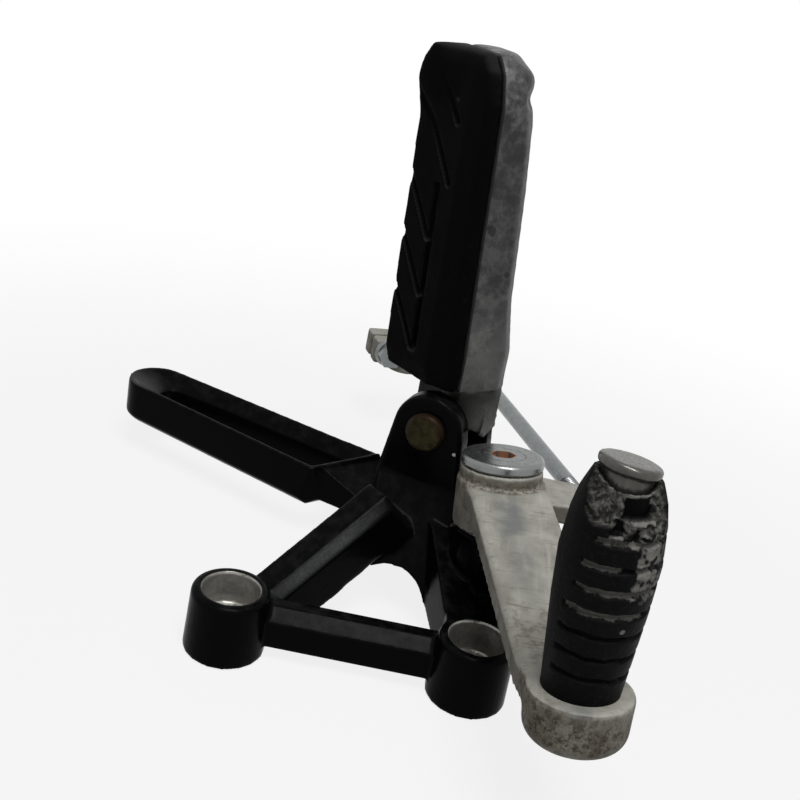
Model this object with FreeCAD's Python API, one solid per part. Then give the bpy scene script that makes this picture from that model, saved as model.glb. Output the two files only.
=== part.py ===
import FreeCAD, Part
import math
import os

# Left rider footrest bracket with folding footpeg, shift lever and shift linkage.
# Frame: origin midway between the two mounting bolts on the mounting face,
# X along the bolt line, Y towards the rear of the bike, Z outwards from the bike.

V = FreeCAD.Vector
UP = V(0, 0, 1)
slack = 0.01

# Mounting bosses
boss_pitch = 74.0
boss_height = 20.5
boss_foot_r = 12.3
boss_top_r = 11.7
boss_edge = 1.8
counterbore_r = 8.5
counterbore_depth = 11.0
counterbore_edge = 0.6
bolt_hole_r = 4.3

# Bar between the bosses
bar_front = -2.6
bar_back = 6.4
bar_ridge = 2.0
bar_foot = 4.0
bar_shoulder = 12.4
bar_top = 16.0

# Arms from the bosses up to the hub
arm_band_half = 4.3
arm_bevel = 3.6
arm_skirt = 1.0
arm_a_start = (-34.0, 6.5, 13.1)
arm_a_end = (-0.7, 39.8, 41.4)
arm_a_root = (8.0, 47.0, 30.0)
arm_a_foot = (4.0, 21.0)
arm_b_start = (33.5, 3.0, 16.0)
arm_b_end = (21.5, 48.0, 33.0)
arm_b_root = (21.0, 55.0, 24.0)
arm_b_foot = (4.0, 12.0)

# Clevis that carries the footpeg
pin_turn = -18.0
pin_x = 11.0
pin_y = 52.9
pin_z = 58.5
ear_r = 12.0
ear_flare = 8.0
ear_thickness = 8.0
ear_edge = 1.6
clevis_gap = 21.4
clevis_floor = 46.0
hub_left = -13.0
hub_right = 15.5
hub_foot = 12.0
hub_toe_top = 25.0
hub_edge = 2.0
apron_left = -4.0
apron_right = 24.0
apron_front = 29.0
apron_foot = 10.0
apron_top = 43.0
arch_x = 9.0
arch_z = 5.0
arch_r = 12.5
arch_side_x = -4.0
arch_side_z = 6.0
arch_side_r = 11.0
web_foot = 8.0
web_top = 20.0

# Clevis pin and its clip
pin_r = 4.0
pin_fit = 0.05
pin_head_r = 6.6
pin_head_height = 3.0
pin_head_edge = 1.0
pin_tail = 5.0
clip_r = 6.5
clip_thickness = 1.0
clip_inset = 2.0

# Footpeg
peg_turn = 28.0
peg_tilt = -4.0
lug_r = 9.5
lug_gap = 0.3
neck_top = 20.0
neck_inset = 1.0
neck_heel = 17.0
neck_recess = 1.8
ear_relief = 0.6
neck_rim = 2.5
notch_r = 3.0
notch_out = 5.0
notch_drop = 16.0
peg_foot = 15.0
peg_top = 120.0
peg_half = 16.5
seam = -5.6
base_mid_depth = 11.2
base_foot_depth = 13.6
base_bulge_depth = 13.8
base_tip_depth = 5.4
base_corner = 4.5
tread_near = -14.2
tread_far = -19.3
tread_taper = 2.2
tread_near_y = -4.5
tread_far_y = 13.5
groove_count = 5
groove_pitch = 18.5
groove_width = 2.4
groove_depth = 2.6
groove_first = 24.0
groove_angle = 56.0
long_groove_y = 1.5
long_groove_start = 9.0

# Return spring on the pin
spring_wire_r = 0.8
spring_coil_r = 6.2
spring_turns = 3.0
spring_room = 6.6

# Shift lever
pivot_x = 38.2
pivot_y = 35.5
pivot_lean = 8.5
pivot_cant = 5.8
pivot_boss_r = 12.6
pivot_boss_top = 38.2
thrust_washer = 1.0
lever_gap = 0.3
lever_hub_height = 19.4
lever_hub_r = 13.8
lever_step_r = 13.0
lever_step = 4.5
lever_bore_r = 6.55
sleeve_r = 6.5
sleeve_hole_r = 5.05
pivot_bolt_r = 5.0
pivot_bolt_depth = 18.0
pivot_head_r = 7.0
cap_r = 13.0
cap_thickness = 3.4
cap_edge = 1.4
cap_foot_edge = 0.8
socket_r = 3.4
socket_depth = 2.4
toe_x = 56.0
toe_y = -56.0
toe_tilt = -3.5
toe_drum_r = 13.5
toe_drum_foot = 36.0
toe_drum_top = 50.0
toe_drum_round = 5.0
toe_drum_draft = 0.8
lever_edge = 1.2
toe_core_r = 7.0
toe_neck_r = 6.0
toe_flange_r = 7.4
toe_flange_lean = 9.6
toe_flange_cant = 8.5
toe_core_top = 110.0
toe_flange_height = 2.4
toe_neck_height = 5.0
lever_arm_depth = 7.0

# Toe rubber
toe_rubber_foot_r = 9.6
toe_rubber_mid_r = 11.8
toe_rubber_top_r = 10.2
toe_rubber_top = 104.0
toe_ring_count = 7
toe_ring_pitch = 6.0
toe_ring_first = 7.9
toe_ring_width = 1.3
toe_ring_depth = 1.4
toe_ring_start = 215.0
toe_ring_sweep = 300.0
rubber_fit = 0.1

# Linkage
link_x = 75.4
link_y = 38.0
link_z = 42.0
link_length = 168.0
link_turn = 110.2
rod_r = 2.9
thread_fit = 0.05
ball_r = 4.5
ball_fit = 0.05
socket_body_r = 7.0
socket_body_height = 9.0
socket_neck_r = 4.4
socket_neck_end = 20.0
rod_entry = 9.0
lock_nut_height = 5.0
nut_flats = 10.0
stud_r = 3.0
stud_neck_r = 2.4
stud_collar_r = 5.0
stud_tail = 6.0
link_lug_top = 54.5
link_lug_foot = 48.0
link_lug_r = 7.5

# Shift arm on the gearbox end of the rod
arm_reach = 19.0
arm_thickness = 7.0
arm_hub_r = 9.5
arm_hub_foot = 27.0
arm_hub_top = 42.0
spline_bore_r = 6.0
clamp_reach = 30.0
clamp_half = 8.0
clamp_height = 11.0
clamp_slot = 2.0
pinch_bolt_r = 3.0
pinch_flange_r = 6.5
pinch_flange_height = 1.5
pinch_head_height = 5.0

# Heel guard loop
guard_x = -25.0
guard_y = 71.0
guard_turn = 151.8
guard_length = 95.5
guard_near_width = 30.0
guard_far_width = 23.5
guard_skew = 10.0
guard_foot = 12.0
guard_top = 28.0
guard_ridge = 1.6
guard_wall = 6.6
guard_bevel_drop = 4.5
guard_chamfer = 2.4
guard_facet = 4.0


def frame_at(x, y, z, turn):
    return FreeCAD.Placement(V(x, y, z), FreeCAD.Rotation(UP, turn))


def leaning(back, inward):
    # Turns an upright axis back along Y, then inward along -X
    return FreeCAD.Rotation(V(1, 0, 0), -back).multiply(FreeCAD.Rotation(V(0, 1, 0), -inward))


def closed_wire(points):
    return Part.makePolygon(list(points) + [points[0]])


def prism(points, sweep):
    return Part.Face(closed_wire(points)).extrude(sweep)


def ruled_loft(sections):
    return Part.makeLoft([closed_wire(points) for points in sections], True, True)


def turned(profile, x=0.0, y=0.0):
    points = [V(r, 0, z) for r, z in profile]
    solid = Part.Face(closed_wire(points)).revolve(V(0, 0, 0), UP, 360)
    solid.translate(V(x, y, 0))
    return solid


def drum(x, y, foot, r, height):
    return Part.makeCylinder(r, height, V(x, y, foot), UP)


def hexagon(flats, height):
    r = flats / math.sqrt(3)
    points = [V(r * math.cos(math.radians(60 * k)), r * math.sin(math.radians(60 * k)), 0) for k in range(6)]
    return prism(points, V(0, 0, height))


def rounded(solid, radius, chosen):
    # Round every edge whose bounding box the rule accepts
    return solid.makeFillet(radius, [edge for edge in solid.Edges if chosen(edge.BoundBox)])


def moved(shape, placement):
    copy = shape.copy()
    copy.Placement = placement.multiply(copy.Placement)
    return copy


def hull_plan(x0, y0, r0, x1, y1, r1, foot, height):
    # Two round ends joined by their outer tangents
    reach = math.hypot(x1 - x0, y1 - y0)
    lean = math.acos((r0 - r1) / reach)
    heading = math.atan2(y1 - y0, x1 - x0)
    corners = []
    for x, y, r, side in ((x0, y0, r0, 1), (x1, y1, r1, 1), (x1, y1, r1, -1), (x0, y0, r0, -1)):
        angle = heading + side * lean
        corners.append(V(x + r * math.cos(angle), y + r * math.sin(angle), foot))
    web = prism(corners, V(0, 0, height))
    return web.fuse([drum(x0, y0, foot, r0, height), drum(x1, y1, foot, r1, height)])


clevis_width = 2 * ear_thickness + clevis_gap
pin_frame = frame_at(pin_x, pin_y, 0, pin_turn)
peg_centre = pin_frame.multVec(V(0, clevis_width / 2, pin_z))
peg_frame = frame_at(peg_centre.x, peg_centre.y, pin_z, peg_turn).multiply(
    FreeCAD.Placement(V(0, 0, 0), FreeCAD.Rotation(V(0, 1, 0), peg_tilt)))
boss_x = boss_pitch / 2
lever_lean = leaning(pivot_lean, pivot_cant)
pivot_frame = FreeCAD.Placement(V(pivot_x, pivot_y, pivot_boss_top), lever_lean)
drum_frame = FreeCAD.Placement(V(toe_x, toe_y, toe_drum_top), lever_lean)
lever_foot = thrust_washer + lever_gap
lever_top = lever_foot + lever_hub_height
lever_arm_top = lever_top - lever_step
cap_foot = lever_top + lever_gap
toe_frame = frame_at(toe_x, toe_y, toe_drum_top, 0).multiply(
    FreeCAD.Placement(V(0, 0, 0), FreeCAD.Rotation(V(0, 1, 0), toe_tilt)))
link_frame = frame_at(link_x, link_y, link_z, link_turn)
link_far = link_frame.multVec(V(link_length, 0, 0))


def mount_boss(x):
    boss = turned([(0, 0), (boss_foot_r, 0), (boss_top_r, boss_height), (0, boss_height)], x)
    return rounded(boss, boss_edge, lambda box: box.ZMin > boss_height - slack)


def arm_section(centre, foot, right):
    x, y, top = centre
    offsets = [(-arm_band_half - arm_skirt, foot), (-arm_band_half, top), (arm_band_half, top),
               (arm_band_half + arm_bevel, top - arm_bevel), (arm_band_half + arm_bevel, foot)]
    return [V(x + q * right.x, y + q * right.y, z) for q, z in offsets]


def arm(start, end, root, feet):
    # Straight to its end, then bent down into the hub
    heading = V(end[0] - start[0], end[1] - start[1], 0).normalize()
    right = V(heading.y, -heading.x, 0)
    return ruled_loft([arm_section(start, feet[0], right), arm_section(end, feet[1], right),
                       arm_section(root, feet[1], right)])


def cross_bar():
    section = [(bar_front, bar_foot), (bar_front, bar_shoulder), (bar_ridge, bar_top),
               (bar_back, bar_top), (bar_back, bar_foot)]
    return prism([V(-boss_x, y, z) for y, z in section], V(boss_pitch, 0, 0))


def clevis_block():
    # Round-topped cheeks with sides flaring down into the hub
    flare = math.radians(ear_flare)
    touch_p = ear_r * math.cos(flare)
    touch_z = pin_z + ear_r * math.sin(flare)
    root_p = touch_p + (touch_z - hub_toe_top) * math.tan(flare)
    right_side = Part.LineSegment(V(root_p, 0, hub_toe_top), V(touch_p, 0, touch_z))
    crown = Part.Arc(V(touch_p, 0, touch_z), V(0, 0, pin_z + ear_r), V(-touch_p, 0, touch_z))
    left_side = Part.LineSegment(V(-touch_p, 0, touch_z), V(-root_p, 0, hub_toe_top))
    root = Part.LineSegment(V(-root_p, 0, hub_toe_top), V(root_p, 0, hub_toe_top))
    outline = Part.Wire([line.toShape() for line in (right_side, crown, left_side, root)])
    cheeks = rounded(Part.Face(outline).extrude(V(0, clevis_width, 0)), ear_edge,
                     lambda box: box.YLength < slack and box.ZLength > slack)
    slot = Part.makeBox(4 * ear_r, clevis_gap, 2 * ear_r + pin_z,
                        V(-2 * ear_r, ear_thickness, clevis_floor))
    return cheeks.cut(slot)


def hub_body():
    block = Part.makeBox(hub_right - hub_left, clevis_width, clevis_floor - hub_foot,
                         V(hub_left, 0, hub_foot))
    return rounded(block, hub_edge, lambda box: box.ZLength > slack)


def apron():
    # Front of the hub, sweeping forward to an arch over the window
    low = [V(apron_left, apron_front, apron_foot), V(apron_right, apron_front, apron_foot),
           V(apron_right, pin_y, apron_foot), V(apron_left, pin_y, apron_foot)]
    high = [V(hub_left, hub_edge, apron_top), V(hub_right, hub_edge, apron_top),
            V(hub_right, ear_thickness, apron_top), V(hub_left, ear_thickness, apron_top)]
    block = ruled_loft([low, [pin_frame.multVec(point) for point in high]])
    arch = Part.makeCylinder(arch_r, 2 * pin_y, V(arch_x, 0, arch_z), V(0, 1, 0))
    side_arch = Part.makeCylinder(arch_side_r, 2 * pin_y, V(arch_side_x, 0, arch_side_z), V(0, 1, 0))
    return block.cut([arch, side_arch])


def pivot_boss():
    # Upright boss whose top is faced square to the leaning pivot
    rise = 2 * pivot_boss_r
    boss = drum(pivot_x, pivot_y, bar_foot, pivot_boss_r, pivot_boss_top + pivot_boss_r - bar_foot)
    return boss.cut(moved(drum(0, 0, 0, 2 * rise, rise), pivot_frame))


def pivot_web():
    # Floor of the pocket between the right arm, its boss and the lever's pivot
    strap = hull_plan(boss_x, 0, boss_top_r - 2, pivot_x, pivot_y, pivot_boss_r - 1,
                      web_foot, web_top - web_foot)
    tie = hull_plan(pivot_x, pivot_y, pivot_boss_r - 1, arm_b_end[0], arm_b_end[1], arm_band_half,
                    web_foot, web_top - web_foot)
    return strap.fuse(tie)


def heel_guard():
    frame = frame_at(guard_x, guard_y, 0, guard_turn)
    far_r = guard_far_width / 2
    bend = guard_length - far_r
    near_left = V(0, 0, guard_top)
    near_right = V(-guard_skew, -guard_near_width, guard_top)
    far_right = V(bend, -guard_far_width, guard_top)
    far_tip = V(guard_length, -far_r, guard_top)
    far_left = V(bend, 0, guard_top)
    outline = Part.Wire([Part.LineSegment(near_left, near_right).toShape(),
                         Part.LineSegment(near_right, far_right).toShape(),
                         Part.Arc(far_right, far_tip, far_left).toShape(),
                         Part.LineSegment(far_left, near_left).toShape()])
    ridge = Part.Face(outline).makeOffset2D(-guard_ridge).OuterWire
    slot = Part.Face(outline).makeOffset2D(-guard_wall).OuterWire
    loop = Part.Face(outline).extrude(V(0, 0, guard_foot - guard_top))
    under = [edge for edge in loop.Edges if edge.BoundBox.ZMax < guard_foot + slack]
    loop = loop.makeChamfer(guard_chamfer, under)
    slot_low = slot.copy()
    slot_low.translate(V(0, 0, -guard_bevel_drop))
    bevel = Part.makeLoft([ridge, slot_low], True, True)
    opening = Part.Face(slot).extrude(V(0, 0, guard_foot - guard_top))
    corner = ruled_loft([guard_corner(guard_ridge / 4, guard_top), guard_corner(guard_facet, guard_foot)])
    return moved(loop.cut([bevel, opening, corner]), frame)


def guard_corner(leg, z):
    # Cutting triangle at the near outer corner, wider towards the foot
    slant = guard_skew / guard_near_width
    return [V(leg, 0, z), V(leg, guard_wall, z), V(-guard_wall, guard_wall, z),
            V(-guard_wall, -leg, z), V(-leg * slant, -leg, z)]


def guard_neck():
    # Web from the guard's near ridge to the hub's flank
    frame = frame_at(guard_x, guard_y, 0, guard_turn)
    slant = guard_skew / guard_near_width
    near_b = -guard_facet
    far_b = guard_ridge - guard_near_width
    near = [V(guard_ridge + b * slant, b, z) for b, z in (
        (near_b, guard_foot + guard_chamfer), (far_b, guard_foot + guard_chamfer),
        (far_b, guard_top - slack), (near_b, guard_top - slack))]
    inner = hub_left + hub_edge
    crest = clevis_floor - ear_thickness
    hub = [V(inner, s, z) for s, z in ((ear_thickness, hub_foot + 2), (clevis_width - hub_edge, hub_foot + 2),
                                       (clevis_width - hub_edge, crest), (ear_thickness, crest))]
    return ruled_loft([[frame.multVec(p) for p in near], [pin_frame.multVec(p) for p in hub]])


def bracket():
    body = mount_boss(-boss_x).fuse([mount_boss(boss_x), cross_bar(),
                                     arm(arm_a_start, arm_a_end, arm_a_root, arm_a_foot),
                                     arm(arm_b_start, arm_b_end, arm_b_root, arm_b_foot),
                                     moved(clevis_block(), pin_frame), moved(hub_body(), pin_frame), apron(),
                                     pivot_boss(), pivot_web(), heel_guard(), guard_neck()])
    for x in (-boss_x, boss_x):
        seat = boss_height - counterbore_depth
        rim = Part.makeCone(counterbore_r, counterbore_r + counterbore_edge, counterbore_edge,
                            V(x, 0, boss_height - counterbore_edge), UP)
        body = body.cut([drum(x, 0, seat, counterbore_r, counterbore_depth),
                         drum(x, 0, 0, bolt_hole_r, seat), rim])
    pin_bore = Part.makeCylinder(pin_r + pin_fit, clevis_width, V(0, 0, pin_z), V(0, 1, 0))
    bolt_hole = drum(0, 0, -pivot_bolt_depth, pivot_bolt_r, pivot_bolt_depth)
    body = body.cut([moved(pin_bore, pin_frame), moved(bolt_hole, pivot_frame)])
    return body.removeSplitter()


def clevis_pin():
    shank_end = clevis_width + pin_tail
    groove_top = shank_end - clip_inset
    groove_foot = groove_top - clip_thickness
    profile = [(0, -pin_head_height), (pin_head_r - pin_head_edge, -pin_head_height),
               (pin_head_r, pin_head_edge - pin_head_height), (pin_head_r, 0), (pin_r, 0), (pin_r, groove_foot),
               (pin_r - 1, groove_foot), (pin_r - 1, groove_top), (pin_r, groove_top), (pin_r, shank_end - 1),
               (pin_r - 1, shank_end), (0, shank_end)]
    return moved(turned(profile), pin_along_y())


def pin_along_y():
    lay = FreeCAD.Placement(V(0, 0, pin_z), FreeCAD.Rotation(V(1, 0, 0), -90))
    return pin_frame.multiply(lay)


def pin_clip():
    groove = clevis_width + pin_tail - clip_inset - clip_thickness
    ring = Part.makeCylinder(clip_r, clip_thickness, V(0, 0, groove))
    bore = Part.makeCylinder(pin_r - 1 + pin_fit, clip_thickness, V(0, 0, groove))
    mouth = Part.makeBox(2 * (pin_r - 1), clip_r, clip_thickness, V(-(pin_r - 1), 0, groove))
    return moved(ring.cut([bore, mouth]), pin_along_y())


def return_spring():
    start = ear_thickness + clevis_gap - spring_room + spring_wire_r
    pitch = (spring_room - 4 * spring_wire_r) / spring_turns
    helix = Part.makeHelix(pitch, pitch * spring_turns, spring_coil_r)
    ring = Part.Wire([Part.Circle(V(spring_coil_r, 0, 0), V(0, 1, 0), spring_wire_r).toShape()])
    coil = Part.Wire(helix).makePipeShell([ring], True, True)
    coil.translate(V(0, 0, start + spring_wire_r))
    return moved(coil, pin_along_y())


def base_section(w, depth, half):
    corner = base_corner
    return [V(seam, -half, w), V(seam, half, w), V(depth - corner, half, w), V(depth, half - corner, w),
            V(depth, corner - half, w), V(depth - corner, -half, w)]


def footpeg_base():
    sections = [base_section(peg_foot, base_foot_depth, peg_half - 1),
                base_section(peg_foot + 12, base_bulge_depth, peg_half),
                base_section(peg_foot + 30, base_mid_depth, peg_half),
                base_section(peg_top - 40, base_mid_depth - 1.5, peg_half),
                base_section(peg_top - 14, base_tip_depth + 2.4, peg_half),
                base_section(peg_top - 5, base_tip_depth + 1.2, peg_half - 2.5),
                base_section(peg_top, base_tip_depth - 2, peg_half - 7)]
    body = moved(ruled_loft(sections), peg_frame)
    lug_length = clevis_gap - 2 * lug_gap - spring_room
    lug_start = ear_thickness + lug_gap
    lug = Part.makeCylinder(lug_r, lug_length, V(0, lug_start, pin_z), V(0, 1, 0))
    waist = lug_r - neck_inset
    near = lug_start + neck_inset
    far = lug_start + lug_length - neck_inset
    low = [(-waist, near), (-waist, far), (neck_heel, far), (neck_heel, near)]
    side = peg_half - 3
    back = base_foot_depth - neck_inset
    high = [(seam + neck_inset, -side), (seam + neck_inset, side), (back, side), (back, -side)]
    neck = ruled_loft([[pin_frame.multVec(V(p, s, pin_z)) for p, s in low],
                       [peg_frame.multVec(V(x, y, neck_top)) for x, y in high]])
    tread_room = Part.makeBox(2 * peg_half, 4 * peg_half, peg_top,
                              V(seam - 2 * peg_half, -2 * peg_half, peg_foot))
    neck = neck.cut(moved(tread_room, peg_frame))
    bore = Part.makeCylinder(pin_r + pin_fit, 2 * clevis_width, V(0, -clevis_width / 2, pin_z), V(0, 1, 0))
    near_relief = Part.makeCylinder(ear_r + ear_relief, lug_start + clevis_width,
                                    V(0, -clevis_width, pin_z), V(0, 1, 0))
    far_relief = Part.makeCylinder(ear_r + ear_relief, clevis_width,
                                   V(0, ear_thickness + clevis_gap - lug_gap, pin_z), V(0, 1, 0))
    spring_relief = Part.makeCylinder(spring_coil_r + spring_wire_r + ear_relief, clevis_width,
                                      V(0, lug_start + lug_length, pin_z), V(0, 1, 0))
    cuts = [moved(cutter, pin_frame) for cutter in (bore, near_relief, far_relief, spring_relief)]
    # Shallow recess in the neck's near face, which leaves a rim along its back edge
    rim_low, rim_high = neck_heel - neck_rim, back - neck_rim
    recess_low = [(-2 * lug_r, near - lug_r), (-2 * lug_r, near + neck_recess), (rim_low, near + neck_recess),
                  (rim_low, near - lug_r)]
    recess_high = [(-peg_half, -2 * peg_half), (-peg_half, neck_recess - side), (rim_high, neck_recess - side),
                   (rim_high, -2 * peg_half)]
    recess = ruled_loft([[pin_frame.multVec(V(p, s, pin_z - neck_inset)) for p, s in recess_low],
                         [peg_frame.multVec(V(x, y, peg_foot - neck_inset)) for x, y in recess_high]])
    notch = Part.makeCylinder(notch_r, 2 * peg_half,
                              V(base_tip_depth + notch_out, -peg_half, peg_top - notch_drop), V(0, 1, 0))
    whole = body.fuse([moved(lug, pin_frame), neck]).cut(cuts + [recess, moved(notch, peg_frame)])
    return whole.removeSplitter()


def rubber_section(w, grow, ends):
    return [V(seam, -peg_half + ends, w), V(seam - 4, 1.6 - peg_half + ends, w),
            V(tread_near + grow, tread_near_y - 3, w), V((tread_near + tread_far) / 2 + grow, 4, w),
            V(tread_far + grow, tread_far_y - ends / 2, w), V(tread_far + 4 + grow, peg_half - ends, w),
            V(seam, peg_half - ends, w)]


def footpeg_rubber():
    pad = ruled_loft([rubber_section(peg_foot, 1.5, 1.0), rubber_section(peg_foot + 6, 0, 0),
                      rubber_section(peg_top - 14, tread_taper, 0),
                      rubber_section(peg_top - 5, tread_taper + 0.8, 2.5),
                      rubber_section(peg_top, tread_taper + 2.5, 7.0)])
    lean = math.degrees(math.atan2(tread_near - tread_far, tread_far_y - tread_near_y))
    tread_mid = tread_near - (long_groove_y - tread_near_y) * math.tan(math.radians(lean))
    # Slanting grooves rise from the ridge or the long groove to the far edge
    long_groove = Part.makeBox(3 * groove_depth, groove_width, groove_pitch * (groove_count - 2),
                               V(-2 * groove_depth, -groove_width, 0))
    long_groove.rotate(V(0, 0, 0), UP, lean)
    long_groove.translate(V(tread_mid, long_groove_y, peg_foot + long_groove_start))
    cutters = [long_groove]
    for index in range(groove_count):
        cutter = Part.makeBox(3 * groove_depth, 3 * peg_half, groove_width,
                              V(-2 * groove_depth, 0, -groove_width / 2))
        cutter.rotate(V(0, 0, 0), V(1, 0, 0), groove_angle)
        cutter.rotate(V(0, 0, 0), UP, lean)
        start = long_groove_y if index < groove_count - 2 else tread_near_y
        cutter.translate(V(tread_mid + (long_groove_y - start) * math.tan(math.radians(lean)), start,
                           groove_first + index * groove_pitch))
        cutters.append(cutter)
    return moved(pad.cut(cutters), peg_frame)


def beam_section(at, half, top):
    # Across the arm, with its upper edges bevelled
    foot = top - lever_arm_depth
    return [V(at, -half, foot), V(at, half, foot), V(at, half, top - lever_edge),
            V(at, half - lever_edge, top), V(at, lever_edge - half, top), V(at, -half, top - lever_edge)]


def lever_beam():
    # Flat arm that drops from a crease before the hub to a second one at the toe drum
    heading = math.degrees(math.atan2(toe_y - pivot_y, toe_x - pivot_x))
    along = FreeCAD.Placement(V(0, 0, 0), FreeCAD.Rotation(UP, heading))
    near, far = pivot_frame.multiply(along), drum_frame.multiply(along)
    near_half, far_half = lever_step_r - 0.5, toe_drum_r - 1
    sections = [(near, beam_section(0, near_half, lever_arm_top)),
                (near, beam_section(lever_hub_r, near_half, lever_arm_top)),
                (far, beam_section(-toe_drum_r, far_half, -slack)), (far, beam_section(0, far_half, -slack))]
    return ruled_loft([[place.multVec(point) for point in section] for place, section in sections])


def toe_core():
    # Pin under the rubber, with a neck and a flange that sits askew
    core_top = toe_core_top - toe_drum_top
    flange_foot = core_top - toe_flange_height
    neck_foot = flange_foot - toe_neck_height
    neck_end = flange_foot + toe_flange_height / 2
    pin = turned([(0, -toe_drum_round), (toe_core_r, -toe_drum_round), (toe_core_r, neck_foot),
                  (toe_neck_r, neck_foot), (toe_neck_r, neck_end), (0, neck_end)])
    flange = Part.makeCylinder(toe_flange_r, toe_flange_height)
    flange = rounded(flange, toe_flange_height / 3, lambda box: box.ZLength < slack)
    askew = leaning(toe_flange_lean, -toe_flange_cant)
    return moved(pin.fuse(moved(flange, FreeCAD.Placement(V(0, 0, flange_foot), askew))), toe_frame)


def shift_lever():
    hub = turned([(0, lever_foot), (lever_hub_r, lever_foot), (lever_hub_r, lever_arm_top),
                  (lever_step_r, lever_arm_top), (lever_step_r, lever_top), (0, lever_top)])
    lug = hull_plan(pivot_x, pivot_y, lever_step_r - 3, link_x, link_y, link_lug_r, link_lug_foot,
                    link_lug_top - link_lug_foot)
    drum_foot = toe_drum_foot - toe_drum_top
    toe_drum = turned([(0, drum_foot), (toe_drum_r - toe_drum_draft, drum_foot), (toe_drum_r, 0), (0, 0)])
    toe_drum = rounded(toe_drum, toe_drum_round, lambda box: box.ZMax < drum_foot + slack)
    toe_drum = rounded(toe_drum, lever_edge, lambda box: box.ZMin > -slack)
    whole = moved(hub, pivot_frame).fuse([lever_beam(), lug, moved(toe_drum, drum_frame), toe_core()])
    bores = [moved(drum(0, 0, lever_foot - 1, lever_bore_r, lever_hub_height + 2), pivot_frame),
             drum(link_x, link_y, link_lug_foot, stud_r + thread_fit, link_lug_top - link_lug_foot)]
    return whole.cut(bores).removeSplitter()


def toe_rubber():
    # Barrel of rubber with a row of ring grooves, drawn upright on the drum's top
    height = toe_rubber_top - toe_drum_top
    stations = [(0.01, toe_rubber_foot_r), (0.45, toe_rubber_mid_r - 0.5), (0.68, toe_rubber_mid_r),
                (0.86, toe_rubber_top_r + 0.7), (0.95, toe_rubber_top_r - 1), (1.0, toe_rubber_top_r - 2.5)]
    inner = toe_core_r + rubber_fit
    heights = [share for share, r in stations]
    radii = [r for share, r in stations]

    def skin(z):
        share = min(max(z / height, heights[0]), heights[-1])
        k = max(i for i in range(len(heights) - 1) if heights[i] <= share)
        along = (share - heights[k]) / (heights[k + 1] - heights[k])
        return radii[k] + along * (radii[k + 1] - radii[k])

    sink = toe_drum_round / 2
    barrel = [(r, share * height) for share, r in stations]
    sleeve = turned([(inner, -sink), (toe_rubber_foot_r, -sink)] + barrel + [(inner, height)])
    for index in range(toe_ring_count):
        low = toe_ring_first + index * toe_ring_pitch
        floor = skin(low) - toe_ring_depth
        ring = Part.makeCylinder(toe_rubber_mid_r + toe_ring_depth, toe_ring_width, V(0, 0, low), UP,
                                 toe_ring_sweep)
        ring.rotate(V(0, 0, 0), UP, toe_ring_start)
        sleeve = sleeve.cut(ring.cut(Part.makeCylinder(floor, toe_ring_width, V(0, 0, low))))
    seat = drum(0, 0, -2 * toe_drum_r, 2 * toe_drum_r, 2 * toe_drum_r)
    return moved(sleeve, toe_frame).cut(moved(seat, drum_frame))


def pivot_sleeve():
    tube = drum(0, 0, thrust_washer, sleeve_r, cap_foot - thrust_washer)
    return moved(tube.cut(drum(0, 0, thrust_washer, sleeve_hole_r, cap_foot - thrust_washer)), pivot_frame)


def thrust_ring():
    ring = drum(0, 0, 0, pivot_boss_r - 1, thrust_washer)
    return moved(ring.cut(drum(0, 0, 0, sleeve_hole_r, thrust_washer)), pivot_frame)


def pivot_cap():
    cap = drum(0, 0, cap_foot, cap_r, cap_thickness)
    cap = rounded(cap, cap_edge, lambda box: box.ZMin > cap_foot + slack)
    cap = rounded(cap, cap_foot_edge, lambda box: box.ZMax < cap_foot + slack)
    seat = drum(0, 0, cap_foot + 1, pivot_head_r + thread_fit, cap_thickness)
    return moved(cap.cut([drum(0, 0, cap_foot, sleeve_hole_r, cap_thickness), seat]), pivot_frame)


def pivot_bolt():
    top = cap_foot + cap_thickness
    bolt = turned([(0, -pivot_bolt_depth), (pivot_bolt_r, -pivot_bolt_depth), (pivot_bolt_r, cap_foot + 1),
                   (pivot_head_r, cap_foot + 1), (pivot_head_r, top), (0, top)])
    socket = hexagon(2 * socket_r, socket_depth)
    socket.translate(V(0, 0, top - socket_depth))
    return moved(bolt.cut(socket), pivot_frame)


def ball_stud(sense):
    # Drawn with the ball at the origin and the threaded end along sense * Z
    collar = ball_r + 1.0
    seat = link_lug_foot - link_z
    end = seat + (link_lug_top - link_lug_foot) + stud_tail if sense > 0 else seat + arm_thickness + stud_tail
    neck = Part.makeCylinder(stud_neck_r, collar)
    flange = Part.makeCylinder(stud_collar_r, seat - collar, V(0, 0, collar))
    shank = Part.makeCylinder(stud_r, end - seat, V(0, 0, seat))
    stud = Part.makeSphere(ball_r).fuse([neck, flange, shank]).removeSplitter()
    if sense < 0:
        stud.rotate(V(0, 0, 0), V(1, 0, 0), 180)
    return stud


def stud_nut(seat, sense):
    nut = hexagon(nut_flats, lock_nut_height).cut(Part.makeCylinder(stud_r + thread_fit, lock_nut_height))
    nut.translate(V(0, 0, seat if sense > 0 else -seat - lock_nut_height))
    return nut


def rod_end(sense):
    # Socket around the ball, open towards the stud, with a threaded neck along X
    half = socket_body_height / 2
    body = Part.makeCylinder(socket_body_r, socket_body_height, V(0, 0, -half))
    neck = Part.makeCylinder(socket_neck_r, socket_neck_end, V(0, 0, 0), V(1, 0, 0))
    bore = Part.makeCylinder(rod_r + thread_fit, socket_neck_end, V(rod_entry, 0, 0), V(1, 0, 0))
    socket = Part.makeSphere(ball_r + ball_fit)
    mouth = Part.makeCone(stud_neck_r + 0.6, ball_r + 0.6, half, V(0, 0, 0), V(0, 0, sense))
    return body.fuse(neck).cut([bore, socket, mouth]).removeSplitter()


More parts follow.
